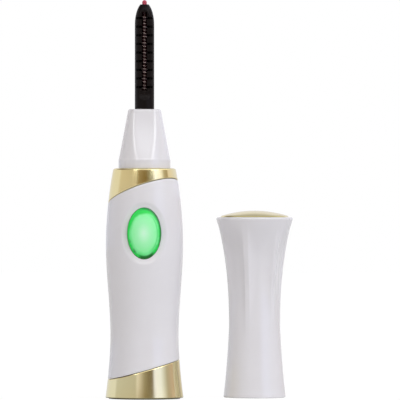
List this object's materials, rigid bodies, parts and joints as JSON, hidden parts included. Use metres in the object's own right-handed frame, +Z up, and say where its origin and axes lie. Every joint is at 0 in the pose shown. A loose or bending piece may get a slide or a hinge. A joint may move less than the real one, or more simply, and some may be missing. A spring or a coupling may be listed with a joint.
{
  "type": "eyelash curler",
  "caption": "Battery-heated eyelash curler: a waisted white wand with gold collar and base, a green push button, a slotted black heating comb and a fluted cap beside it.",
  "frame": {"origin": "middle of the wand's foot, on the surface it stands on", "axes": "+Z up along the wand to its tip, -Y out of the button's face, +X towards the cap"},
  "size_m": [0.0596, 0.0352, 0.1267],
  "materials": {
    "white_plastic": "gloss, pearly white",
    "gold_metal": "polished, gold anodised",
    "black_plastic": "satin black, heat resistant",
    "red_core": "satin red",
    "heater_wire": "bare bright wire",
    "green_lens": "gloss, translucent green",
    "ivory_plastic": "satin ivory",
    "board_green": "solder mask",
    "chip_black": "moulded black",
    "led_white": "clear resin",
    "contact_brass": "bright",
    "spring_steel": "nickel plated",
    "cell_jacket": "printed sleeve, plain",
    "heater_bush": "unglazed",
    "lead_red": "silicone sleeve",
    "lead_black": "silicone sleeve"
  },
  "bodies": {
    "wand": {"barrel_shell": "white_plastic", "shoulder_collar": "gold_metal", "nose_cone": "white_plastic", "heater_comb": "black_plastic", "heater_core": "red_core", "heater_coil": "heater_wire", "heater_retainer": "heater_bush", "inner_chassis": "ivory_plastic", "circuit_board": "board_green", "board_screw_lower": "spring_steel", "board_screw_upper": "spring_steel", "tact_switch": "chip_black", "indicator_led": "led_white", "control_chip": "chip_black", "positive_contact": "contact_brass", "negative_strip": "contact_brass", "lead_wire_left": "lead_black", "lead_wire_right": "lead_red"},
    "button": {"power_button": "green_lens", "switch_plunger": "ivory_plastic"},
    "base": {"base_cup": "gold_metal", "battery_plug": "ivory_plastic", "spring_plate": "spring_steel", "negative_spring": "spring_steel", "battery_cell": "cell_jacket"},
    "cap": {"cap_shell": "white_plastic", "cap_crown": "gold_metal"}
  },
  "joints": [
    {"name": "button_press", "type": "slide", "parent": "wand", "child": "button", "axis": [0, 1, 0], "range_m": [0, 0.0006], "stiffness_N_per_m": 400},
    {"name": "base_pull", "type": "slide", "parent": "wand", "child": "base", "axis": [0, 0, -1], "range_m": [0, 0.06]},
    {"name": "cap_lift", "type": "slide", "parent": "wand", "child": "cap", "axis": [0, 0, 1], "range_m": [0, 0.075]}
  ]
}
